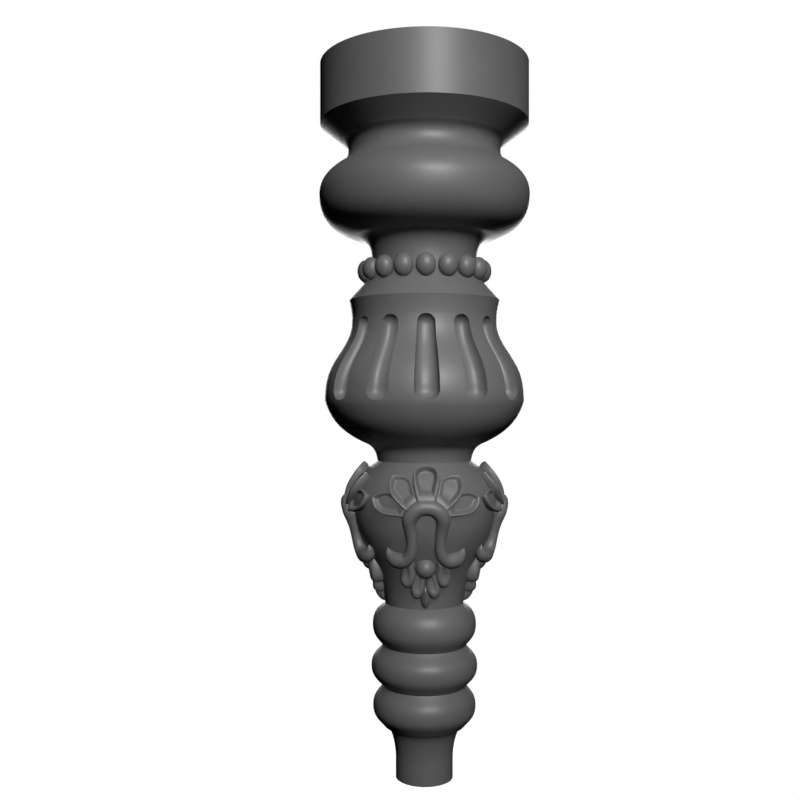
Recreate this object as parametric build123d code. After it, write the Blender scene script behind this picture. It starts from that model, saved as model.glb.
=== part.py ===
from build123d import *
import math
import os

# A turned and carved furniture leg, made from one piece of wood. From the floor up it has a slim foot,
# three rings, a vase with four carved ornaments, a fluted bulb, a ring of beads round a narrow neck, a
# wide cushion, a cove and a plain block that is fixed under the furniture.
# The origin is the middle of the foot's end, +Z is up, and one of the ornaments faces -Y.

# Driving dimensions, in millimetres and degrees. Radii are the turned radius at that place.
foot_radius = 13.7
foot_length = 10.0
flare_radius = 19.5
flare_length = 15.5
lower_ring_radius = 24.6
lower_ring_height = 18.8
middle_ring_radius = 25.4
middle_ring_height = 19.4
upper_ring_radius = 24.8
upper_ring_height = 20.3
ring_crease_radius = 20.6
vase_foot_radius = 18.8
vase_belly_radius = 34.8
vase_body_height = 50.0
vase_shoulder_height = 18.0
waist_radius = 22.5
waist_height = 9.0
bulb_foot_radius = 29.6
bulb_radius = 47.7
bulb_bowl_height = 19.7
bulb_body_height = 38.8
bulb_throat_radius = 34.6
lip_radius = 36.0
lip_height = 9.2
shoulder_height = 12.3
neck_radius = 25.0
neck_length = 6.0
neck_cove_height = 12.3
cushion_foot_radius = 35.0
cushion_radius = 50.4
cushion_lower_height = 20.0
cushion_upper_height = 12.5
cushion_top_radius = 42.8
cove_radius = 36.5
cove_lower_height = 8.2
cove_upper_height = 6.0
block_foot_radius = 40.8
block_radius = 50.0
block_chamfer_height = 7.3
block_height = 28.4

flute_count = 13
flute_half_angle = 6.75
flute_depth = 2.6
flute_top_margin = 10.0
flute_corner_radius = 3.0

bead_count = 17
bead_radius = 4.75
bead_circle_radius = 27.5
bead_rise = 1.7

ornament_count = 4
rosette_drop = 1.0
petal_rim_width = 1.7
petal_dish_depth = 1.6
middle_petal_rise = 3.2
middle_petal_half_width = 6.0
middle_petal_length = 18.0
side_petal_rise = 2.7
side_petal_half_width = 5.0
side_petal_length = 17.6
side_petal_turn = 18
side_petal_aside = 5.6
side_petal_lean = 38
outer_petal_rise = 2.2
outer_petal_half_width = 4.8
outer_petal_length = 18.4
outer_petal_turn = 29
outer_petal_aside = 9.5
outer_petal_drop = 2.0
outer_petal_lean = 72

scroll_arch_drop = 1.0
scroll_arch_half_width = 7.5
scroll_arch_radius = 2.9
scroll_leg_half_width = 6.4
scroll_leg_radius = 2.35
scroll_hook_drop = 26.0
scroll_hook_radius = 3.5
scroll_horn_half_width = 17.5
scroll_tip_radius = 0.5
scroll_stand_out = 2.4
scroll_hook_stand_out = 3.4

drop_ball_radius = 4.7
drop_ball_rise = 19.8
drop_leaf_half_width = 3.6
drop_leaf_length = 12.0
drop_leaf_rise = 4.4
upper_leaf_turn = 17
upper_leaf_lean = 6
upper_leaf_drop = -2.5
lower_leaf_turn = 9.5
lower_leaf_lean = 4
lower_leaf_drop = 2.6
pendant_drop = 6.2
pendant_half_width = 2.7
pendant_length = 13.0

bolt_hole_radius = 3.5
bolt_hole_depth = 40.0

# Heights of the places where one turned form ends and the next begins, stacked up from the floor.
flare_foot = foot_length
lower_ring_foot = flare_foot + flare_length
middle_ring_foot = lower_ring_foot + lower_ring_height
upper_ring_foot = middle_ring_foot + middle_ring_height
vase_foot = upper_ring_foot + upper_ring_height
vase_belly = vase_foot + vase_body_height
waist_foot = vase_belly + vase_shoulder_height
bulb_foot = waist_foot + waist_height
bulb_belly = bulb_foot + bulb_bowl_height
bulb_throat = bulb_belly + bulb_body_height
lip = bulb_throat + lip_height
neck_foot = lip + shoulder_height
neck_top = neck_foot + neck_length
cushion_foot = neck_top + neck_cove_height
cushion_belly = cushion_foot + cushion_lower_height
cushion_top = cushion_belly + cushion_upper_height
cove_middle = cushion_top + cove_lower_height
block_foot = cove_middle + cove_upper_height
block_edge = block_foot + block_chamfer_height
leg_height = block_edge + block_height


def direction(angle):
    return Vector(math.cos(math.radians(angle)), 0, math.sin(math.radians(angle)))


def two_arcs(start, start_angle, end, end_angle, share=1.0, stand_out=0.0):
    """Two arcs that leave start and reach end at the given angles and meet smoothly between them.

    Points are (radius, height). Angles are counted from straight outwards, so 90 is straight up.
    share is how long the second arc's arm is beside the first's. stand_out moves the curve outwards.
    """
    first, last = Vector(start[0], 0, start[1]), Vector(end[0], 0, end[1])
    leave, arrive = direction(start_angle), direction(end_angle)
    span = last - first
    bend = 2 * share * (1 - leave.dot(arrive))
    along = span.dot(leave + arrive * share)
    if bend < 1e-9:
        arm = span.dot(span) / (2 * along)
    else:
        arm = (math.sqrt(along**2 + bend * span.dot(span)) - along) / bend
    corner_1, corner_2 = first + leave * arm, last - arrive * arm * share
    middle = corner_1 + (corner_2 - corner_1) * (1 / (1 + share))
    across = (corner_2 - corner_1).normalized()
    points = [
        point + Vector(way.Z, 0, -way.X) * stand_out
        for point, way in ((first, leave), (middle, across), (last, arrive))
    ]
    return [
        TangentArc(points[0], points[1], tangent=leave),
        TangentArc(points[1], points[2], tangent=across),
    ]


def ring(foot, height, low_radius, belly_radius, high_radius):
    """One of the round rings, fullest half way up and with a tight crease above and below it."""
    belly = (belly_radius, foot + height / 2)
    crease_angle = 56
    lower = two_arcs((low_radius, foot), crease_angle, belly, 90, 2.0)
    return lower + two_arcs(belly, 90, (high_radius, foot + height), 180 - crease_angle, 0.5)


def vase_curve(stand_out=0.0):
    belly = (vase_belly_radius, vase_belly)
    body = two_arcs((vase_foot_radius, vase_foot), 83, belly, 90, 1.0, stand_out)
    return body + two_arcs(belly, 90, (waist_radius, waist_foot), 148, 2.0, stand_out)


def bulb_curve(stand_out=0.0):
    throat = (bulb_throat_radius, bulb_throat)
    body = two_arcs((bulb_radius, bulb_belly), 90, throat, 90, 0.6, stand_out)
    return body + two_arcs(throat, 90, (lip_radius, lip), 77, 2.5, stand_out)


def turned_solid(curves, foot, top):
    """The solid inside an outline of (radius, height) curves, closed by flat ends and turned round Z."""
    start, end = curves[0] @ 0, curves[-1] @ 1
    ends = [Line((0, 0, foot), start), Line(end, (0, 0, top)), Line((0, 0, top), (0, 0, foot))]
    return revolve(Face(Wire(ends[:1] + curves + ends[1:])), Axis.Z)


def turned_body():
    outline = [Line((foot_radius, 0, 0), (foot_radius, 0, flare_foot))]
    outline += two_arcs((foot_radius, flare_foot), 90, (flare_radius, lower_ring_foot), 17, 0.4)
    crease = ring_crease_radius
    outline += ring(lower_ring_foot, lower_ring_height, flare_radius, lower_ring_radius, crease)
    outline += ring(middle_ring_foot, middle_ring_height, crease, middle_ring_radius, crease)
    outline += ring(upper_ring_foot, upper_ring_height, crease, upper_ring_radius, vase_foot_radius)
    outline += vase_curve()
    outline += two_arcs((waist_radius, waist_foot), 80, (bulb_foot_radius, bulb_foot), 16, 4.0)
    outline += two_arcs((bulb_foot_radius, bulb_foot), 22, (bulb_radius, bulb_belly), 68, 0.25)
    outline += bulb_curve()
    outline += [
        Line((lip_radius, 0, lip), (neck_radius, 0, neck_foot)),
        Line((neck_radius, 0, neck_foot), (neck_radius, 0, neck_top)),
    ]
    outline += two_arcs((neck_radius, neck_top), 90, (cushion_foot_radius, cushion_foot), 3, 2.6)
    cushion = (cushion_radius, cushion_belly)
    outline += two_arcs((cushion_foot_radius, cushion_foot), 15, cushion, 90, 0.3)
    outline += two_arcs(cushion, 90, (cushion_top_radius, cushion_top), 144, 0.5)
    cove = (cove_radius, cove_middle)
    outline += two_arcs((cushion_top_radius, cushion_top), 144, cove, 90, 2.5)
    outline += two_arcs(cove, 90, (block_foot_radius, block_foot), 44, 0.5)
    outline += [
        Line((block_foot_radius, 0, block_foot), (block_radius, 0, block_edge)),
        Line((block_radius, 0, block_edge), (block_radius, 0, leg_height)),
    ]
    return turned_solid(outline, 0, leg_height)


def radius_on_vase(height):
    """The vase's turned radius at a height."""
    for arc in vase_curve():
        low, high = (arc @ 0).Z, (arc @ 1).Z
        if height <= high:
            break
    middle = arc.arc_center
    reach = math.sqrt(max(arc.radius**2 - (height - middle.Z) ** 2, 0))
    return middle.X + math.copysign(reach, (arc @ 0.5).X - middle.X)


def on_vase(aside, height, stand_out):
    """A point in front of the vase's middle line, aside along X, standing out from the turned face."""
    radius = radius_on_vase(height) + stand_out
    return Vector(aside, -math.sqrt(radius**2 - aside**2), height)


def round_the_leg(shape, count):
    return [shape.rotate(Axis.Z, 360 * turn / count) for turn in range(count)]


def flute():
    """The cutter for one flute: a slot that widens with the bulb, arched above and square below."""
    spread = math.sin(math.radians(flute_half_angle))
    half_top, half_foot = bulb_throat_radius * spread, bulb_radius * spread
    arch_foot = lip - flute_top_margin - half_top
    outline = make_face(
        [
            Line((-half_foot, bulb_belly), (half_foot, bulb_belly)),
            Line((half_foot, bulb_belly), (half_top, arch_foot)),
            ThreePointArc((half_top, arch_foot), (0, arch_foot + half_top), (-half_top, arch_foot)),
            Line((-half_top, arch_foot), (-half_foot, bulb_belly)),
        ]
    )
    corners = outline.vertices().group_by(Axis.Y)[0]
    outline = fillet(corners, flute_corner_radius)
    slot = extrude(Plane.XZ * outline, 2 * bulb_radius)
    floor = turned_solid(bulb_curve(-flute_depth), bulb_belly, lip)
    return slot - floor


def bead():
    return Pos(0, -bead_circle_radius, neck_foot + bead_rise) * Sphere(bead_radius)


def leaf_outline(root, widest, widest_at, length):
    """A leaf seen flat, growing up from the origin. root and widest are half its width there."""
    right = [
        TangentArc((widest, widest_at), (root, 0), tangent=(0, -1)),
        TangentArc((widest, widest_at), (0, length), tangent=(0, 1)),
    ]
    left = [mirror(edge, Plane.YZ) for edge in right]
    return make_face(right + left + [Line((root, 0), (-root, 0))])


def petal(turn, aside, foot, lean, rise, half_width, length):
    """A dished petal with a raised rim, carved square to the leg's face at the given turn."""
    rim = petal_rim_width
    root, widest_at = 0.55 * half_width, 0.62 * length
    outer = leaf_outline(root, half_width, widest_at, length)
    inner = leaf_outline(root - rim / 2, half_width - rim, widest_at, length - 1.2 * rim)
    place = Rot(Z=turn) * Plane.XZ.location * Pos(aside, foot) * Rot(Z=lean)
    top = turned_solid(vase_curve(rise), vase_foot, waist_foot)
    dish = turned_solid(vase_curve(rise - petal_dish_depth), vase_foot, waist_foot)
    whole = extrude(place * outer, 2 * vase_belly_radius) & top
    return whole - (extrude(place * Pos(0, 1.5 * rim) * inner, 2 * vase_belly_radius) - dish)


def rosette():
    """The five petals above the scroll, each tucked behind the one nearer the middle."""
    foot = vase_belly - rosette_drop
    petals = [petal(0, 0, foot, 0, middle_petal_rise, middle_petal_half_width, middle_petal_length)]
    for side in (-1, 1):
        petals.append(
            petal(
                side * side_petal_turn,
                -side * side_petal_aside,
                foot,
                -side * side_petal_lean,
                side_petal_rise,
                side_petal_half_width,
                side_petal_length,
            )
        )
        petals.append(
            petal(
                side * outer_petal_turn,
                -side * outer_petal_aside,
                foot - outer_petal_drop,
                -side * outer_petal_lean,
                outer_petal_rise,
                outer_petal_half_width,
                outer_petal_length,
            )
        )
    return petals


def scroll():
    """The horseshoe in front of the vase: a round arch, two slim legs and two fat upturned horns.

    Each station on its centre line is (how far aside, height, how far it stands out, its radius).
    """
    top = vase_belly - scroll_arch_drop
    arch = scroll_arch_half_width
    leg = scroll_leg_half_width
    horn = scroll_horn_half_width
    hook = vase_belly - scroll_hook_drop
    hook_middle = (leg + horn) / 2
    near, far = scroll_stand_out, scroll_hook_stand_out
    slim, thick, fat = scroll_leg_radius, scroll_arch_radius, scroll_hook_radius
    stations = [
        (0, top, near + 0.2, thick),
        (0.42 * arch, top - 0.9, near + 0.2, thick),
        (0.8 * arch, top - 3.2, near + 0.2, thick + 0.2),
        (arch, top - 6.6, near + 0.2, thick + 0.4),
        (arch - 0.6, top - 11.0, near, slim + 0.5),
        (leg, top - 16.0, near, slim),
        (leg + 0.2, hook + 4.6, far - 0.4, slim + 0.2),
        (leg + 1.7, hook + 1.2, far - 0.1, slim + 0.6),
        (hook_middle - 1.3, hook - 0.7, far, fat - 0.2),
        (hook_middle + 1.6, hook - 0.2, far - 0.1, fat),
        (horn - 2.4, hook + 2.0, far - 0.4, fat - 0.7),
        (horn - 0.6, hook + 4.6, near + 0.2, fat - 1.9),
        (horn, hook + 6.8, near, scroll_tip_radius),
    ]
    centres = [on_vase(aside, height, rise) for aside, height, rise, _ in stations]
    rings = []
    for index, (centre, station) in enumerate(zip(centres, stations)):
        before, after = centres[max(index - 1, 0)], centres[min(index + 1, len(centres) - 1)]
        along = Vector(1, 0, 0) if index == 0 else (after - before).normalized()
        outwards = Vector(centre.X, centre.Y, 0).normalized()
        square = (outwards - along * outwards.dot(along)).normalized()
        rings.append(Plane(centre, x_dir=square, z_dir=along) * Circle(station[3]))
    half = loft(rings, ruled=True)
    return half + mirror(half, Plane.YZ)


def drop_leaf(turn, height, lean, half_width, length):
    """A plump pointed leaf with a domed face, hanging down the vase from the given height."""
    outline = leaf_outline(half_width / 3, half_width, 0.5 * length, length)
    place = Rot(Z=turn) * Plane.XZ.location * Pos(0, height) * Rot(Z=180 + lean)
    crown = height - 0.6 * length
    slope = radius_on_vase(crown + 0.5) - radius_on_vase(crown - 0.5)
    square = Vector(0, -1, -slope).normalized()
    dome_radius = 0.65 * length
    middle = Vector(0, -radius_on_vase(crown), crown) + square * (drop_leaf_rise - dome_radius)
    dome = Rot(Z=turn) * Pos(middle) * Sphere(dome_radius)
    return extrude(place * outline, 2 * vase_belly_radius) & dome


def drop():
    """The ball under the scroll with its five hanging leaves."""
    ball_height = vase_foot + drop_ball_rise
    ball = Pos(0, -radius_on_vase(ball_height), ball_height) * Sphere(drop_ball_radius)
    pieces = [ball, drop_leaf(0, ball_height - pendant_drop, 0, pendant_half_width, pendant_length)]
    leaves = (
        (upper_leaf_turn, upper_leaf_drop, upper_leaf_lean),
        (lower_leaf_turn, lower_leaf_drop, lower_leaf_lean),
    )
    for side in (-1, 1):
        for turn, fall, lean in leaves:
            top = ball_height - fall
            leaf = drop_leaf(side * turn, top, side * lean, drop_leaf_half_width, drop_leaf_length)
            pieces.append(leaf)
    return pieces


def ornament():
    return [*rosette(), scroll(), *drop()]


body = turned_body()
body -= round_the_leg(flute(), flute_count)
body += round_the_leg(bead(), bead_count)
for piece in ornament():
    body += round_the_leg(piece, ornament_count)
body -= Pos(0, 0, leg_height) * Cylinder(
    bolt_hole_radius, bolt_hole_depth, align=(Align.CENTER, Align.CENTER, Align.MAX)
)
os.makedirs("parts", exist_ok=True)
export_step(body, "parts/leg.step")
print("leg height", leg_height, "volume", body.volume, "solids", len(body.solids()))
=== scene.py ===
# %% [markdown]
# Furniture leg, turned and carved
# This lesson dresses one wooden furniture leg. A lathe gives it the foot, three rings, a vase, a
# bulb, a neck, a cushion and a block. A carver then cuts thirteen flutes into the bulb, rounds a
# row of beads on the neck, and cuts the same ornament four times round the vase. At the end the
# whole leg is painted in a smooth dark grey with a satin sheen.
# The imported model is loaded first. It gives the real size, and everything is made in its frame:
# metres, the floor at zero, the leg standing along Z, and one ornament facing the camera.

# %% Load the leg
import math
import bpy
from mathutils import Matrix, Vector


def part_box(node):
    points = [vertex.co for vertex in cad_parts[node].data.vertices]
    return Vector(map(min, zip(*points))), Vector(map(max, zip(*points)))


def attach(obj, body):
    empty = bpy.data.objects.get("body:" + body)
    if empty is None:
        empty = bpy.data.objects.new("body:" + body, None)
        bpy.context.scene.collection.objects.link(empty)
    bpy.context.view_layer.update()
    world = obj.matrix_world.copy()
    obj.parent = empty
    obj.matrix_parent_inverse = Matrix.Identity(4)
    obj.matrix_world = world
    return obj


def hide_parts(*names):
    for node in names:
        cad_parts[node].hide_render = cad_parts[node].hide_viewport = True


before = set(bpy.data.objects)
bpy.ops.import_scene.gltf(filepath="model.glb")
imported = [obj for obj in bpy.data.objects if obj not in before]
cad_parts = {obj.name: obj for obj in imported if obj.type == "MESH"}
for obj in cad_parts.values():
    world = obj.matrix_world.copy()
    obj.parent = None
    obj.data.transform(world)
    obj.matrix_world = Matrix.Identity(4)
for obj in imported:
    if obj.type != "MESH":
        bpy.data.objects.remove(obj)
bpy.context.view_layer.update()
scene = bpy.context.scene
leg_low, leg_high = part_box("leg")
MM = 0.001
LEG_HEIGHT = leg_high.z
LEG_RADIUS = leg_high.x
print("leg", [round(v / MM, 1) for v in leg_high - leg_low], "mm, nodes", list(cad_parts))

# %% [markdown]
# The camera
# The reference view is level with the middle of the leg and close to it, so the block is seen
# from below and the rings from above. A camera that is kept level, at about the height of the
# leg's middle, gives that without any tilt, and the leg's edges stay upright.

# %% Place the camera
CAMERA_PLACE = Vector((-11.7, -465.1, 181.0)) * MM
CAMERA_LENS = 43.456
SENSOR_WIDTH = 36.0
NEAREST_SEEN = 10 * MM

bpy.ops.object.select_all(action="DESELECT")
bpy.ops.object.camera_add(location=CAMERA_PLACE, rotation=(math.radians(90), 0, 0))
camera = bpy.context.object
camera.name = "camera"
camera.data.sensor_width = SENSOR_WIDTH
camera.data.lens = CAMERA_LENS
camera.data.clip_start = NEAREST_SEEN
scene.camera = camera
scene.view_settings.view_transform = "Standard"
print("camera is", round(-CAMERA_PLACE.y / MM), "mm in front of the leg")

# %% [markdown]
# The light
# Two round lamps stand in front of the leg, a little to the right. The key lamp is high and
# about a metre away, and its beam is narrow, so the light grows weaker towards both ends of
# the leg. It casts no shadows of its own, as a light table does, which keeps the shallow
# carving clear to read. The soft lamp is wide and weak, and casts the leg's faint shadow on
# the floor. A third lamp stands straight behind the leg and lights its back, which the front
# camera doesn't see. The world is white where the camera sees it and almost dark for
# everything else, so hollows and undersides stay deep.

# %% Set the lamps and the world
LAMP_AIM = Vector((0, 0, 170)) * MM
SHADE_LIGHT = 0.002

for name, place, width, spread, strength, casts_shadow in (
    ("key_lamp", (175, -840, 660), 0.12, 50, 0.65, False),
    ("soft_lamp", (330, -1500, 1250), 0.9, 180, 9.0, True),
    ("back_lamp", (20, 1300, 300), 0.9, 180, 20.0, True),
):
    bpy.ops.object.select_all(action="DESELECT")
    bpy.ops.object.light_add(
        type="AREA",
        location=Vector(place) * MM,
        rotation=(LAMP_AIM - Vector(place) * MM).to_track_quat("-Z", "Y").to_euler(),
    )
    lamp = bpy.context.object
    lamp.name = name
    lamp.data.shape = "DISK"
    lamp.data.size = width
    lamp.data.spread = math.radians(spread)
    lamp.data.energy = strength
    lamp.data.use_shadow = casts_shadow
    print(name, round((LAMP_AIM - lamp.location).length, 2), "m from the middle of the leg")

world = bpy.data.worlds.new("white_studio")
scene.world = world
world.use_nodes = True
nodes, links = world.node_tree.nodes, world.node_tree.links
background = nodes["Background"]
rays = nodes.new("ShaderNodeLightPath")
seen = nodes.new("ShaderNodeMapRange")
seen.inputs["To Min"].default_value = SHADE_LIGHT
seen.inputs["To Max"].default_value = 1.0
links.new(rays.outputs["Is Camera Ray"], seen.inputs["Value"])
links.new(seen.outputs["Result"], background.inputs["Strength"])
background.inputs["Color"].default_value = (1, 1, 1, 1)
print("world", SHADE_LIGHT)

# %% [markdown]
# The floor
# The leg stands on a plain pale floor. The camera sees a floor that is nearly white already,
# and the lamp adds the last of it, so that only the leg's shadow shows. The shadow fades
# with the distance from the foot, and there the floor melts into the white background. The
# leg itself sees a nearly black floor, so no light comes up from below.

# %% Lay the floor
FLOOR_SIZE = 20.0
FLOOR_PALE = (0.86, 0.86, 0.86, 1)
FLOOR_GLOW = 0.60
FLOOR_BOUNCE = (0.006, 0.006, 0.006, 1)
SHADOW_REACH = 130 * MM

bpy.ops.object.select_all(action="DESELECT")
bpy.ops.mesh.primitive_plane_add(size=FLOOR_SIZE)
floor = bpy.context.object
floor.name = "floor"
paper = bpy.data.materials.new("pale_floor")
paper.use_nodes = True
nodes, links = paper.node_tree.nodes, paper.node_tree.links
nodes.clear()
output = nodes.new("ShaderNodeOutputMaterial")
matt = nodes.new("ShaderNodeBsdfDiffuse")
matt.inputs["Color"].default_value = FLOOR_PALE
glow = nodes.new("ShaderNodeEmission")
glow.inputs["Strength"].default_value = FLOOR_GLOW
lit = nodes.new("ShaderNodeAddShader")
white = nodes.new("ShaderNodeEmission")
white.inputs["Strength"].default_value = 1.0
dark = nodes.new("ShaderNodeBsdfDiffuse")
dark.inputs["Color"].default_value = FLOOR_BOUNCE
place = nodes.new("ShaderNodeTexCoord")
distance = nodes.new("ShaderNodeVectorMath")
distance.operation = "LENGTH"
fade = nodes.new("ShaderNodeMapRange")
fade.interpolation_type = "SMOOTHSTEP"
fade.inputs["From Max"].default_value = SHADOW_REACH
near_or_far = nodes.new("ShaderNodeMixShader")
rays = nodes.new("ShaderNodeLightPath")
camera_only = nodes.new("ShaderNodeMixShader")
links.new(place.outputs["Object"], distance.inputs[0])
links.new(distance.outputs["Value"], fade.inputs["Value"])
links.new(matt.outputs["BSDF"], lit.inputs[0])
links.new(glow.outputs["Emission"], lit.inputs[1])
links.new(fade.outputs["Result"], near_or_far.inputs["Fac"])
links.new(lit.outputs["Shader"], near_or_far.inputs[1])
links.new(white.outputs["Emission"], near_or_far.inputs[2])
links.new(rays.outputs["Is Camera Ray"], camera_only.inputs["Fac"])
links.new(dark.outputs["BSDF"], camera_only.inputs[1])
links.new(near_or_far.outputs["Shader"], camera_only.inputs[2])
links.new(camera_only.outputs["Shader"], output.inputs["Surface"])
floor.data.materials.append(paper)
print("floor reaches", FLOOR_SIZE / 2, "m each way")

# %% [markdown]
# The paint
# The real finish is a dark grey satin paint over fine-grained wood. Seen close, the lathe's
# tool has left very faint rings, and the paint is a little uneven in sheen. The colour and the
# sheen vary slowly over the surface, and two bumps carry the rings and the paint's grain.

# %% Mix the paint
PAINT_GREY = 0.117
PAINT_LIGHTER = 0.128
PAINT_SHEEN = 0.47
PAINT_DULLER = 0.52
PAINT_IOR = 1.5
CLOUDS_FROM = 0.3
CLOUDS_TO = 0.7
LATHE_LINES = (12, 12, 900)


def noise(scale, detail):
    texture = nodes.new("ShaderNodeTexNoise")
    texture.inputs["Scale"].default_value = scale
    texture.inputs["Detail"].default_value = detail
    return texture


def bump(strength, depth):
    relief = nodes.new("ShaderNodeBump")
    relief.inputs["Strength"].default_value = strength
    relief.inputs["Distance"].default_value = depth * MM
    return relief


paint = bpy.data.materials.new("dark_grey_satin_paint")
paint.use_nodes = True
nodes, links = paint.node_tree.nodes, paint.node_tree.links
shader = nodes["Principled BSDF"]
shader.inputs["IOR"].default_value = PAINT_IOR
place = nodes.new("ShaderNodeTexCoord")
cloud = noise(scale=45, detail=4)
colour = nodes.new("ShaderNodeValToRGB")
colour.color_ramp.elements[0].position = CLOUDS_FROM
colour.color_ramp.elements[0].color = (PAINT_GREY, PAINT_GREY, PAINT_GREY, 1)
colour.color_ramp.elements[1].position = CLOUDS_TO
colour.color_ramp.elements[1].color = (PAINT_LIGHTER, PAINT_LIGHTER, PAINT_LIGHTER, 1)
sheen = nodes.new("ShaderNodeMapRange")
sheen.inputs["To Min"].default_value = PAINT_SHEEN
sheen.inputs["To Max"].default_value = PAINT_DULLER
stretch = nodes.new("ShaderNodeMapping")
stretch.inputs["Scale"].default_value = LATHE_LINES
lathe_lines = noise(scale=1, detail=3)
grain = noise(scale=2200, detail=2)
line_bump = bump(strength=0.10, depth=0.10)
grain_bump = bump(strength=0.06, depth=0.05)
links.new(place.outputs["Object"], cloud.inputs["Vector"])
links.new(place.outputs["Object"], grain.inputs["Vector"])
links.new(place.outputs["Object"], stretch.inputs["Vector"])
links.new(stretch.outputs["Vector"], lathe_lines.inputs["Vector"])
links.new(cloud.outputs["Fac"], colour.inputs["Fac"])
links.new(cloud.outputs["Fac"], sheen.inputs["Value"])
links.new(colour.outputs["Color"], shader.inputs["Base Color"])
links.new(sheen.outputs["Result"], shader.inputs["Roughness"])
links.new(lathe_lines.outputs["Fac"], line_bump.inputs["Height"])
links.new(grain.outputs["Fac"], grain_bump.inputs["Height"])
links.new(line_bump.outputs["Normal"], grain_bump.inputs["Normal"])
links.new(grain_bump.outputs["Normal"], shader.inputs["Normal"])
print("paint", paint.name)

# %% [markdown]
# The turned body
# A turner works from a drawn outline, so the body starts as one Bezier curve from the middle
# of the foot to the middle of the block's top. Each stretch is one handle pair: where it ends,
# the angle at which it leaves and arrives, and how far each handle pulls. The curve becomes a
# mesh and is spun once round the leg's middle. A spin is the same motion as the lathe's.

# %% Draw the outline
FOOT_RADIUS = 13.7
FLARE_FOOT = 10.0
FLARE_TOP_RADIUS = 19.5
RING_CREASE = 19.8
RINGS = ((25.5, 44.3, 24.6), (44.3, 63.7, 25.4), (63.7, 84.0, 24.8))
VASE_FOOT = 84.0
VASE_FOOT_RADIUS = 18.8
VASE_BELLY = 134.0
VASE_BELLY_RADIUS = 34.8
WAIST = 152.0
WAIST_RADIUS = 22.5
BULB_FOOT = 161.0
BULB_FOOT_RADIUS = 29.6
BULB_BELLY = 180.7
BULB_RADIUS = 47.7
BULB_THROAT = 219.5
BULB_THROAT_RADIUS = 34.6
LIP = 228.7
LIP_RADIUS = 36.0
NECK = 241.0
NECK_TOP = 247.0
NECK_RADIUS = 25.0
CUSHION_FOOT = 259.3
CUSHION_FOOT_RADIUS = 35.0
CUSHION_BELLY = 279.3
CUSHION_RADIUS = LEG_RADIUS / MM
CUSHION_TOP = 291.8
CUSHION_TOP_RADIUS = 42.8
COVE = 300.0
COVE_RADIUS = 36.5
BLOCK_FOOT = 306.0
BLOCK_FOOT_RADIUS = 40.8
BLOCK_EDGE = 313.3
BLOCK_RADIUS = 50.0
BLOCK_TOP = LEG_HEIGHT / MM
BOLT_HOLE_RADIUS = 3.5
BOLT_HOLE_DEPTH = 40.0


class Outline:
    """Knots of a Bezier curve in radius and height, in millimetres."""

    def __init__(self, radius, height):
        self.knots = [[Vector((radius, 0, height))] * 3]

    def bow(self, radius, height, leave, arrive, leave_pull=0.4, arrive_pull=0.4):
        """A smooth stretch. Angles are counted from straight out, so 90 is straight up."""
        start, end = self.knots[-1][1], Vector((radius, 0, height))
        reach = (end - start).length

        def way(angle):
            return Vector((math.cos(math.radians(angle)), 0, math.sin(math.radians(angle))))

        self.knots[-1][2:] = [start + way(leave) * reach * leave_pull]
        self.knots.append([end - way(arrive) * reach * arrive_pull, end, end])

    def line(self, radius, height):
        """A straight stretch, with a sharp corner at both ends."""
        start, end = self.knots[-1][1], Vector((radius, 0, height))
        self.knots[-1][2:] = [start.lerp(end, 1 / 3)]
        self.knots.append([start.lerp(end, 2 / 3), end, end])


outline = Outline(0, 0)
outline.line(FOOT_RADIUS, 0)
outline.line(FOOT_RADIUS, FLARE_FOOT)
outline.bow(FLARE_TOP_RADIUS, RINGS[0][0], 91, 0, 0.20, 0.26)
for low, high, radius in RINGS:
    outline.bow(radius, (low + high) / 2, 51, 90, 0.43, 0.46)
    if high < VASE_FOOT:
        outline.bow(RING_CREASE, high, 90, 124, 0.46, 0.38)
outline.bow(VASE_FOOT_RADIUS, VASE_FOOT, 90, 148, 0.47, 0.27)
outline.bow(VASE_BELLY_RADIUS, VASE_BELLY, 84, 90, 0.47, 0.44)
outline.bow(WAIST_RADIUS, WAIST, 90, 148, 0.33, 0.33)
outline.bow(BULB_FOOT_RADIUS, BULB_FOOT, 80, 22, 0.49, 0.45)
outline.bow(BULB_RADIUS, BULB_BELLY, 25.6, 73, 0.495, 0.30)
outline.bow(BULB_THROAT_RADIUS, BULB_THROAT, 87, 90, 0.50, 0.37)
outline.bow(LIP_RADIUS, LIP, 90, 76, 0.32, 0.17)
outline.line(NECK_RADIUS, NECK)
outline.line(NECK_RADIUS, NECK_TOP)
outline.bow(CUSHION_FOOT_RADIUS, CUSHION_FOOT, 90, 6, 0.53, 0.48)
outline.bow(CUSHION_RADIUS, CUSHION_BELLY, 20, 90, 0.30, 0.53)
outline.bow(CUSHION_TOP_RADIUS, CUSHION_TOP, 90, 144, 0.48, 0.20)
outline.bow(COVE_RADIUS, COVE, 143, 90, 0.22, 0.52)
outline.bow(BLOCK_FOOT_RADIUS, BLOCK_FOOT, 90, 46, 0.53, 0.33)
outline.line(BLOCK_RADIUS, BLOCK_EDGE)
outline.line(BLOCK_RADIUS, BLOCK_TOP)
outline.line(BOLT_HOLE_RADIUS, BLOCK_TOP)
outline.line(BOLT_HOLE_RADIUS, BLOCK_TOP - BOLT_HOLE_DEPTH)
outline.line(0, BLOCK_TOP - BOLT_HOLE_DEPTH)
print("outline knots", len(outline.knots))

# %% Turn the outline into a mesh
OUTLINE_STEPS = 12


def only(piece):
    """Leaves object mode with this piece as the only selected one."""
    if bpy.context.object and bpy.context.object.mode != "OBJECT":
        bpy.ops.object.mode_set(mode="OBJECT")
    bpy.ops.object.select_all(action="DESELECT")
    piece.select_set(True)
    bpy.context.view_layer.objects.active = piece


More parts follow.
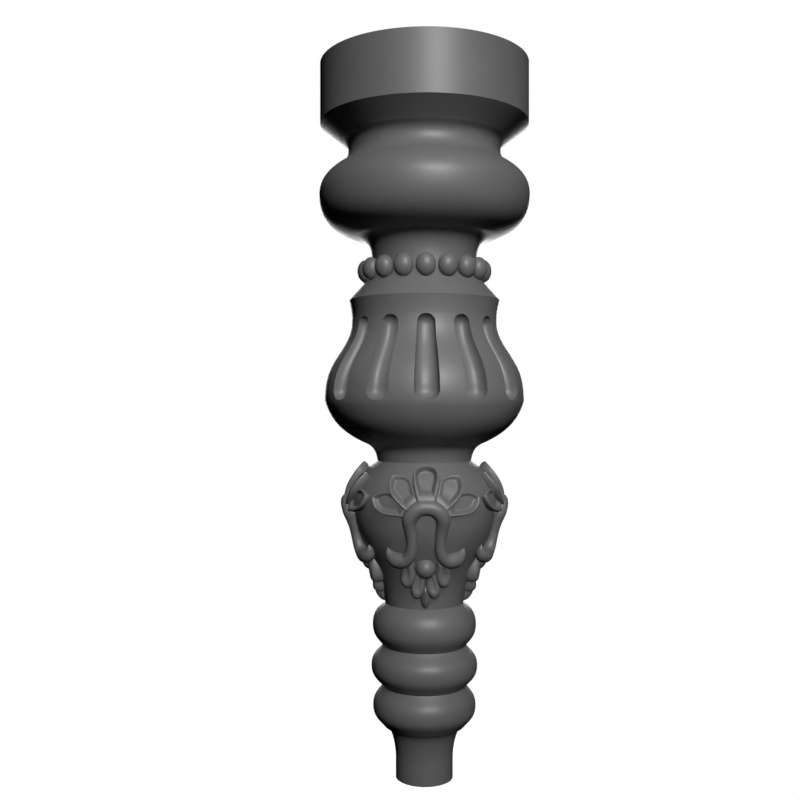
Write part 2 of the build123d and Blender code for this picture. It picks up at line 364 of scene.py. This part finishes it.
def curve_from(name, knots, steps):
    """A Bezier curve through knots of (handle before, point, handle after), in millimetres."""
    bpy.ops.object.select_all(action="DESELECT")
    bpy.ops.curve.primitive_bezier_curve_add()
    curve = bpy.context.object
    curve.name = name
    curve.data.resolution_u = steps
    points = curve.data.splines[0].bezier_points
    points.add(len(knots) - len(points))
    for point, (before, here, after) in zip(points, knots):
        point.handle_left_type = point.handle_right_type = "FREE"
        point.co = here * MM
        point.handle_left = before * MM
        point.handle_right = after * MM
    return curve


leg = curve_from("leg_body", outline.knots, OUTLINE_STEPS)
only(leg)
bpy.ops.object.convert(target="MESH")
profile = sorted((v.co.z / MM, v.co.x / MM) for v in leg.data.vertices)
print("outline points", len(profile))

# %% Spin the outline
SPIN_STEPS = 208
SAME_POINT = 0.001 * MM

bpy.ops.object.mode_set(mode="EDIT")
bpy.ops.mesh.select_all(action="SELECT")
bpy.ops.mesh.spin(steps=SPIN_STEPS, angle=math.tau, center=(0, 0, 0), axis=(0, 0, 1))
bpy.ops.mesh.select_all(action="SELECT")
bpy.ops.mesh.remove_doubles(threshold=SAME_POINT)
bpy.ops.mesh.normals_make_consistent(inside=False)
bpy.ops.object.mode_set(mode="OBJECT")
print("turned body", len(leg.data.polygons), "faces")


def radius_at(height):
    """The turned radius at a height, read off the outline."""
    for (low, low_radius), (high, high_radius) in zip(profile, profile[1:]):
        if low <= height <= high and high > low:
            return low_radius + (high_radius - low_radius) * (height - low) / (high - low)
    raise ValueError(height)


def outwards_at(height, span=0.6):
    """The way square out of the turned surface at a height, as (outwards, upwards)."""
    slope = (radius_at(height + span) - radius_at(height - span)) / (2 * span)
    return Vector((1, -slope)).normalized()


print("belly of the vase", round(radius_at(VASE_BELLY), 1), "mm")

# %% [markdown]
# The flutes
# A carver cuts a flute with one gouge: a groove with a round bottom that is as wide as the
# gouge and starts and ends where the gouge goes in and out. So one cutter is made as a bent,
# rounded bar that follows the bulb, and thirteen copies of it are taken out of the body with
# a Boolean. Its width is a share of the bulb's radius, which keeps the strips between even.
# The cut leaves faces with many corners along the rims, and those are split into triangles.

# %% Make the gouge's path
FLUTE_COUNT = 13
FLUTE_HALF_ANGLE = math.radians(6.75)
FLUTE_LOW = 181.05
FLUTE_HIGH = 219.8
FLUTE_STEPS = 56
FLUTE_DEPTH_SHARE = 1.15
FLUTE_SQUARENESS = 1.30
FLUTE_END_LOW = 0.90
FLUTE_END_HIGH = 1.05
FLUTE_CORNER = 2.2
FLUTE_CLEARANCE = 1.01
GOUGE_POINT = 0.02
GOUGE_STEPS = 10


def end_rounding(distance, reach):
    """From 0 at a flute's end to 1 where its full width starts, along a rounded corner."""
    left = max(0.0, 1 - distance / reach)
    return (1 - left**FLUTE_CORNER) ** (1 / FLUTE_CORNER)


bpy.ops.object.select_all(action="DESELECT")
bpy.ops.curve.primitive_bezier_circle_add(radius=1)
gouge_section = bpy.context.object
gouge_section.data.resolution_u = GOUGE_STEPS
for point in gouge_section.data.splines[0].bezier_points:
    point.handle_left_type = point.handle_right_type = "FREE"
    point.handle_left = point.co + (point.handle_left - point.co) * FLUTE_SQUARENESS
    point.handle_right = point.co + (point.handle_right - point.co) * FLUTE_SQUARENESS
bpy.ops.object.mode_set(mode="EDIT")
bpy.ops.curve.select_all(action="SELECT")
bpy.ops.transform.resize(value=(1, FLUTE_DEPTH_SHARE, 1))
bpy.ops.object.mode_set(mode="OBJECT")

path = bpy.data.curves.new("gouge_path", "CURVE")
path.dimensions = "3D"
path.bevel_mode = "OBJECT"
path.bevel_object = gouge_section
path.use_fill_caps = True
spline = path.splines.new("POLY")
spline.points.add(FLUTE_STEPS)
for step, point in enumerate(spline.points):
    share = (1 - math.cos(math.pi * step / FLUTE_STEPS)) / 2
    height = FLUTE_LOW + (FLUTE_HIGH - FLUTE_LOW) * share
    radius = radius_at(height)
    half_width = radius * math.sin(FLUTE_HALF_ANGLE)
    low_end = end_rounding(height - FLUTE_LOW, half_width * FLUTE_END_LOW)
    high_end = end_rounding(FLUTE_HIGH - height, half_width * FLUTE_END_HIGH)
    size = max(half_width * min(low_end, high_end), GOUGE_POINT)
    point.co = (0, -radius * MM, height * MM, 1)
    point.radius = size * MM * FLUTE_CLEARANCE
gouge = bpy.data.objects.new("gouge", path)
scene.collection.objects.link(gouge)
only(gouge)
bpy.ops.object.convert(target="MESH")
bpy.ops.object.mode_set(mode="EDIT")
bpy.ops.mesh.select_all(action="SELECT")
bpy.ops.mesh.remove_doubles(threshold=SAME_POINT)
bpy.ops.mesh.normals_make_consistent(inside=False)
bpy.ops.object.mode_set(mode="OBJECT")
only(gouge_section)
bpy.ops.object.delete()
low, high = Vector(gouge.bound_box[0]), Vector(gouge.bound_box[6])
print("gouge", [round(v / MM, 1) for v in high - low], "mm")

# %% Cut the flutes
SHARP_EDGE = math.radians(30)


def turned_copies(piece, count):
    """Copies of a piece, evenly round the leg's middle. The piece itself is the first."""
    copies = [piece]
    for number in range(1, count):
        only(piece)
        bpy.ops.object.duplicate(linked=False)
        copy = bpy.context.object
        bpy.ops.object.mode_set(mode="EDIT")
        bpy.ops.mesh.select_all(action="SELECT")
        bpy.ops.transform.rotate(
            value=math.tau * number / count, orient_axis="Z", center_override=(0, 0, 0)
        )
        bpy.ops.object.mode_set(mode="OBJECT")
        copies.append(copy)
    return copies


def join(pieces):
    """Joins the pieces into the first one, which keeps its name."""
    only(pieces[0])
    for piece in pieces:
        piece.select_set(True)
    bpy.ops.object.join()
    return pieces[0]


gouges = join(turned_copies(gouge, FLUTE_COUNT))
only(leg)
cut = leg.modifiers.new("flutes", "BOOLEAN")
cut.operation = "DIFFERENCE"
cut.solver = "EXACT"
cut.object = gouges
bpy.ops.object.modifier_apply(modifier=cut.name)
only(gouges)
bpy.ops.object.delete()
only(leg)
bpy.ops.object.mode_set(mode="EDIT")
bpy.ops.mesh.select_all(action="SELECT")
bpy.ops.mesh.select_face_by_sides(number=4, type="GREATER", extend=False)
bpy.ops.mesh.quads_convert_to_tris(ngon_method="BEAUTY")
bpy.ops.object.mode_set(mode="OBJECT")
bpy.ops.object.shade_smooth_by_angle(angle=SHARP_EDGE)
print("fluted body", len(leg.data.polygons), "faces")

# %% [markdown]
# The beads
# Seventeen beads stand in a row round the neck, one of them at the front. Each is a little
# taller than wide, like an egg, and grows out of the neck and the slope below it. One sphere is
# squeezed to that shape and copied. On a lathe they would be one ring first, which is then cut
# into beads.

# %% Carve the beads
BEAD_COUNT = 17
BEAD_HALF_WIDTH = 4.73
BEAD_HALF_HEIGHT = 5.4
BEAD_HALF_DEPTH = 4.0
BEAD_CIRCLE = 28.2
BEAD_HEIGHT = 242.6

bpy.ops.object.select_all(action="DESELECT")
bpy.ops.mesh.primitive_uv_sphere_add(segments=40, ring_count=24, radius=MM)
bead = bpy.context.object
bead.name = "bead_ring"
bpy.ops.object.mode_set(mode="EDIT")
bpy.ops.mesh.select_all(action="SELECT")
bpy.ops.transform.resize(value=(BEAD_HALF_WIDTH, BEAD_HALF_DEPTH, BEAD_HALF_HEIGHT))
bpy.ops.transform.translate(value=(0, -BEAD_CIRCLE * MM, BEAD_HEIGHT * MM))
bpy.ops.object.mode_set(mode="OBJECT")
bead_ring = join(turned_copies(bead, BEAD_COUNT))
only(bead_ring)
bpy.ops.object.shade_smooth()
print("beads", BEAD_COUNT, "with", len(bead_ring.data.polygons), "faces")

# %% [markdown]
# The petals
# Each petal is a flat blank with a raised, rounded rim and a spoon-shaped hollow. The blank is a
# closed Bezier curve filled with one face. The face is extruded again and again, a little
# smaller each time and at the height that the rim or the hollow has there, so its rings run
# parallel to the outline. Shrinking towards a point near the tip leaves the rim broad at the
# root, where the hollow fades out. Last, the flat petal is bent round the vase in code,
# because that keeps its thickness, which a Shrinkwrap would not. The petals beside the middle
# one are thinner on the side where they tuck in under their neighbour.

# %% Helpers that carve a leaf and bend it on
BLANK_STEPS = 12
BLANK_MERGE = 0.02 * MM
LOWER_PULL = 0.38
UPPER_PULL = 0.58
ROOT_SPREAD = 0.25
ROOT_RISE = 0.16
SINK = -2.0
THINNEST = 0.25


def leaf_blank(name, root, left, right, tip, point):
    """A flat leaf as one filled face, its root on X and its tip up Y. Everything is in mm.

    left and right are the (half width, how far up) of the two bellies, tip is the (aside, up) of
    the tip, and point is half the breadth of the rounding there: small for a sharp leaf.
    """
    tip = Vector((*tip, 0))
    up, aside = Vector((0, 1, 0)), Vector((1, 0, 0))
    bellies = [Vector((right[0], right[1], 0)), Vector((-left[0], left[1], 0))]
    feet = [aside * root, -aside * root]
    lower = [belly - up * belly.y * LOWER_PULL for belly in bellies]
    upper = [belly + up * (tip.y - belly.y) * UPPER_PULL for belly in bellies]
    rising = [
        foot.lerp(belly, ROOT_SPREAD) + up * belly.y * ROOT_RISE
        for foot, belly in zip(feet, bellies)
    ]
    loop = [
        [feet[0].lerp(feet[1], 1 / 3), feet[0], rising[0]],
        [lower[0], bellies[0], upper[0]],
        [tip + aside * point, tip, tip - aside * point],
        [upper[1], bellies[1], lower[1]],
        [rising[1], feet[1], feet[1].lerp(feet[0], 1 / 3)],
    ]
    blank = curve_from(name, loop, BLANK_STEPS)
    blank.data.splines[0].use_cyclic_u = True
    only(blank)
    bpy.ops.object.convert(target="MESH")
    bpy.ops.object.mode_set(mode="EDIT")
    bpy.ops.mesh.select_all(action="SELECT")
    bpy.ops.mesh.remove_doubles(threshold=BLANK_MERGE)
    bpy.ops.mesh.edge_face_add()
    bpy.ops.transform.translate(value=(0, 0, SINK * MM))
    return blank


def step_up(blank, steps, rise, shrink, centre):
    """Extrudes the blank's face once for each (share of the shrinking, share of the rise).

    shrink is how much of the (breadth, length) is left at a share of 1, and centre the (aside,
    up) that the face shrinks towards.
    """
    last_share, last_height = 0.0, SINK
    for share, height_share in steps:
        height = height_share * rise
        bpy.ops.mesh.extrude_region_move(
            TRANSFORM_OT_translate={"value": (0, 0, (height - last_height) * MM)}
        )
        across, along = [(1 - share * (1 - s)) / (1 - last_share * (1 - s)) for s in shrink]
        bpy.ops.transform.resize(
            value=(across, along, 1), center_override=(centre[0] * MM, centre[1] * MM, 0)
        )
        last_share, last_height = share, height
    bpy.ops.mesh.poke()
    bpy.ops.mesh.select_all(action="SELECT")
    bpy.ops.mesh.normals_make_consistent(inside=False)
    bpy.ops.object.mode_set(mode="OBJECT")
    smooth = blank.modifiers.new("smooth", "SUBSURF")
    smooth.levels = smooth.render_levels = 1
    bpy.ops.object.modifier_apply(modifier=smooth.name)


def bend_on(piece, foot, lean, around, thicker=(0.0, 0.0)):
    """Lays a flat piece on the vase. foot is (mm round the vase, height), around its radius there.

    thicker is by what share the piece grows thicker with each mm (to its right, up to its tip).
    """
    turn = Matrix.Rotation(-math.radians(lean), 2)
    for vertex in piece.data.vertices:
        flat = vertex.co / MM
        if flat.z > 0:
            flat.z *= max(THINNEST, 1 + thicker[0] * flat.x + thicker[1] * flat.y)
        aside, up = turn @ Vector((flat.x, flat.y))
        height = up + foot[1]
        out, rise = outwards_at(height)
        reach = radius_at(height) + out * flat.z
        angle = (aside + foot[0]) / around
        vertex.co = (
            reach * math.sin(angle) * MM,
            -reach * math.cos(angle) * MM,
            (height + rise * flat.z) * MM,
        )
    piece.data.update()


def mirrored_copy(piece):
    """The same piece on the other side of the ornament's middle line."""
    only(piece)
    bpy.ops.object.duplicate(linked=False)
    copy = bpy.context.object
    bpy.ops.object.mode_set(mode="EDIT")
    bpy.ops.mesh.select_all(action="SELECT")
    bpy.ops.transform.resize(value=(-1, 1, 1), center_override=(0, 0, 0))
    bpy.ops.mesh.normals_make_consistent(inside=False)
    bpy.ops.object.mode_set(mode="OBJECT")
    return copy


# %% Carve the five petals
AROUND_PETALS = 34.0
RIM_WIDTH = 2.0
TUCK = 0.10
RIM_AND_HOLLOW = (
    (0.00, 0.55),
    (0.03, 0.70),
    (0.10, 0.83),
    (0.20, 0.93),
    (0.31, 0.98),
    (0.42, 1.00),
    (0.54, 0.96),
    (0.65, 0.88),
    (0.75, 0.76),
    (0.83, 0.61),
    (0.90, 0.46),
    (0.98, 0.34),
    (1.09, 0.26),
    (1.30, 0.21),
    (1.66, 0.20),
)


def petal(name, rise, foot, lean, root, left, right, tip, point, hollow, tuck):
    """A petal whose hollow starts and ends at the two distances in hollow from root and tip."""
    blank = leaf_blank(name, root, left, right, tip, point)
    breadth = (left[0] + right[0]) / 2
    shrink_along = sum(hollow) / tip[1]
    dish = (1 - RIM_WIDTH / breadth, 1 - shrink_along)
    middle = ((right[0] - left[0]) / 2, hollow[0] / shrink_along)
    step_up(blank, RIM_AND_HOLLOW, rise, dish, middle)
    bend_on(blank, foot, lean, AROUND_PETALS, (tuck, 0.0))
    return blank


BELLY = (6.25, 12.0)
petals = [
    petal("rosette", 3.8, (0, 133.0), 0, 3.6, BELLY, BELLY, (0.0, 16.3), 3.6, (7.2, 1.2), 0.0)
]
for name, rise, foot, lean, root, left, right, tip, point, hollow in (
    (
        "side_petal", 3.0, (4.4, 132.7), 45.0, 3.4,
        (6.6, 8.6), (4.1, 9.4), (-0.1, 18.3), 0.8, (6.1, 2.6),
    ),
    (
        "outer_petal", 2.6, (7.1, 131.2), 72.2, 2.9,
        (5.2, 10.0), (4.9, 10.5), (0.2, 19.1), 0.8, (5.0, 2.7),
    ),
):
    right_petal = petal(name, rise, foot, lean, root, left, right, tip, point, hollow, TUCK)
    petals += [right_petal, mirrored_copy(right_petal)]
rosette = join(petals)
print("rosette", len(rosette.data.polygons), "faces")

# %% [markdown]
# The scroll
# Under the petals a round bar is bent like a horseshoe: an arch, two slimmer legs and two fat
# horns that turn up to a point. It is one Bezier curve through a few points on the vase, each
# given as (aside, height, how far its middle stands out, radius). The radius swells and thins
# the bar, and the curve's bevel makes it round.

# %% Bend the scroll
SCROLL = (
    (0.0, 133.05, 1.75, 3.5),
    (3.1, 132.6, 1.8, 3.6),
    (5.8, 130.8, 1.8, 3.65),
    (7.4, 127.9, 1.5, 3.5),
    (7.35, 124.8, 1.0, 3.1),
    (6.9, 121.8, 0.9, 2.75),
    (6.4, 117.3, 1.5, 2.45),
    (6.75, 112.7, 2.5, 2.7),
    (8.4, 109.4, 3.1, 3.2),
    (11.4, 108.2, 3.3, 3.6),
    (14.3, 109.0, 2.8, 3.4),
    (16.1, 110.8, 2.1, 2.4),
    (17.0, 112.5, 1.6, 1.3),
    (17.35, 113.9, 1.3, 0.3),
)

stations = [(-aside, *rest) for aside, *rest in reversed(SCROLL[1:])] + list(SCROLL)
bpy.ops.object.select_all(action="DESELECT")
bpy.ops.curve.primitive_bezier_curve_add()
scroll = bpy.context.object
scroll.name = "scroll"
scroll.data.resolution_u = 8
scroll.data.bevel_depth = MM
scroll.data.bevel_resolution = 10
scroll.data.use_fill_caps = True
scroll.data.splines[0].radius_interpolation = "CARDINAL"
points = scroll.data.splines[0].bezier_points
points.add(len(stations) - len(points))
for point, (aside, height, stand_out, radius) in zip(points, stations):
    reach = radius_at(height) + stand_out
    point.handle_left_type = point.handle_right_type = "AUTO"
    point.co = Vector((aside, -math.sqrt(reach**2 - aside**2), height)) * MM
    point.radius = radius
only(scroll)
bpy.ops.object.convert(target="MESH")
bpy.ops.object.mode_set(mode="EDIT")
bpy.ops.mesh.select_all(action="SELECT")
bpy.ops.mesh.remove_doubles(threshold=SAME_POINT)
bpy.ops.mesh.normals_make_consistent(inside=False)
bpy.ops.object.mode_set(mode="OBJECT")
print("scroll", len(scroll.data.polygons), "faces")

# %% [markdown]
# The drop
# Below the scroll hangs a small bunch: a ball, two pairs of thick leaves that overlap like the
# scales of a cone, and a ridged pendant with a point. The leaves and the pendant are carved as
# the petals are, with a domed profile in place of the rim.

# %% Carve the drop
AROUND_DROP = 25.0
LEAF_SWELL = 0.14
LEAF_POINT = 1.9
LEAF_SHRINK = (0.0, 0.20)
LEAF_CENTRE = 0.30
BALL_RADIUS = 4.7
BALL_HEIGHT = 104.2
BALL_STANDS_OUT = 0.3
PENDANT_FOOT = (0, 97.6)
PENDANT_BELLY = (3.1, 8.4)
PENDANT_TIP = (0.0, 13.1)
PENDANT_POINT = 0.9
PENDANT_RISE = 3.8
PENDANT_SHRINK = (0.0, 0.30)
PENDANT_CENTRE = (0, 6.4)
UPSIDE_DOWN = 180
DOME = (
    (0.00, 0.18),
    (0.04, 0.40),
    (0.12, 0.62),
    (0.24, 0.82),
    (0.38, 0.95),
    (0.54, 1.00),
    (0.70, 0.95),
    (0.84, 0.86),
    (0.94, 0.82),
)
RIDGE = (
    (0.00, 0.10),
    (0.12, 0.34),
    (0.28, 0.55),
    (0.50, 0.74),
    (0.75, 0.90),
    (0.96, 1.00),
)

bpy.ops.object.select_all(action="DESELECT")
bpy.ops.mesh.primitive_uv_sphere_add(segments=48, ring_count=32, radius=BALL_RADIUS * MM)
ball = bpy.context.object
ball.name = "drop"
bpy.ops.object.mode_set(mode="EDIT")
bpy.ops.mesh.select_all(action="SELECT")
bpy.ops.transform.translate(
    value=(0, -(radius_at(BALL_HEIGHT) + BALL_STANDS_OUT) * MM, BALL_HEIGHT * MM)
)
bpy.ops.object.mode_set(mode="OBJECT")

drops = [ball]
for name, rise, foot, lean, root, belly, length in (
    ("upper_leaf", 2.2, (7.2, 108.0), UPSIDE_DOWN - 8, 2.3, (3.9, 7.6), 12.9),
    ("lower_leaf", 1.9, (1.95, 103.6), UPSIDE_DOWN - 13, 1.7, (4.0, 8.4), 14.3),
):
    leaf = leaf_blank(name, root, belly, belly, (0.0, length), LEAF_POINT)
    step_up(leaf, DOME, rise, LEAF_SHRINK, (0, LEAF_CENTRE * length))
    bend_on(leaf, foot, lean, AROUND_DROP, (0.0, LEAF_SWELL))
    drops += [leaf, mirrored_copy(leaf)]
pendant = leaf_blank(
    "pendant", PENDANT_POINT, PENDANT_BELLY, PENDANT_BELLY, PENDANT_TIP, PENDANT_POINT
)
step_up(pendant, RIDGE, PENDANT_RISE, PENDANT_SHRINK, PENDANT_CENTRE)
bend_on(pendant, PENDANT_FOOT, UPSIDE_DOWN, AROUND_DROP)
drops.append(pendant)
drop = join(drops)
print("drop", len(drop.data.polygons), "faces")

# %% [markdown]
# Four times round
# The ornament faces the four sides of the furniture, so it is copied in quarter turns. Each copy
# gets its own mesh and a name for the side that it faces.

# %% Copy the carving to the four sides
SIDES = ("front", "right", "back", "left")
CARVED_EDGE = math.radians(40)

carving = []
for piece in (rosette, scroll, drop):
    stem = piece.name
    copies = turned_copies(piece, len(SIDES))
    for side, copy in zip(SIDES, copies):
        copy.name = f"{stem}_{side}"
        only(copy)
        bpy.ops.object.shade_smooth_by_angle(angle=CARVED_EDGE)
    carving += copies
for piece in [leg, bead_ring] + carving:
    piece.data.materials.clear()
    piece.data.materials.append(paint)
    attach(piece, "root")
    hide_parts("leg")
print("pieces", len(carving) + 2)
